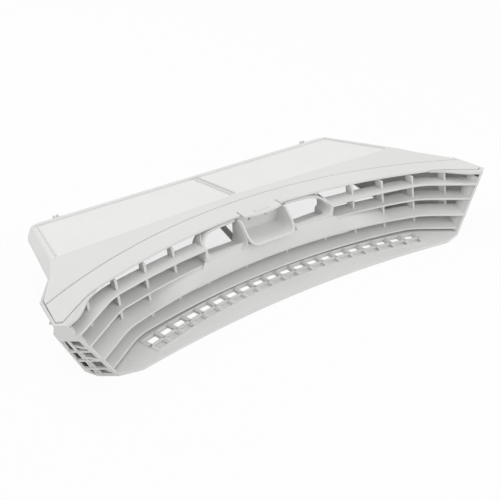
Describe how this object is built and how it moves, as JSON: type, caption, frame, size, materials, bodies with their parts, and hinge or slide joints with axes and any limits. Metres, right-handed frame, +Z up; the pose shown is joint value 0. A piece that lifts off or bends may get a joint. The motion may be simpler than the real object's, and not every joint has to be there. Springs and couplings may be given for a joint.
{
  "type": "tumble dryer lint filter",
  "caption": "Book-type dryer lint filter: a curved louvred grille housing with a grip, and a hinged cover with fine meshes that opens so the lint can be wiped out.",
  "frame": {"origin": "on the underside of the floor, in the middle plane, on the bar between the floor holes below the long arc's middle", "axes": "+X along the grille, -Y towards the concave louvred front, +Y towards the hinge, +Z up from the table to the strip"},
  "size_m": [0.4004, 0.1745, 0.0505],
  "materials": {
    "housing_plastic": "light grey injection-moulded plastic with a fine satin surface",
    "cover_plastic": "light grey injection-moulded plastic, smooth and satin",
    "filter_mesh": "very fine light synthetic weave, moulded into its frame"
  },
  "bodies": {
    "housing": {"grille_housing": "housing_plastic", "tray_mesh_left": "filter_mesh", "tray_mesh_right": "filter_mesh"},
    "cover": {"mesh_cover": "cover_plastic", "cover_mesh_left": "filter_mesh", "cover_mesh_right": "filter_mesh"}
  },
  "joints": [
    {"name": "cover_hinge", "type": "hinge", "parent": "housing", "child": "cover", "pos_m": [0, 0.1335, 0.0305], "axis": [-1, 0, 0], "range_deg": [0, 100]}
  ]
}
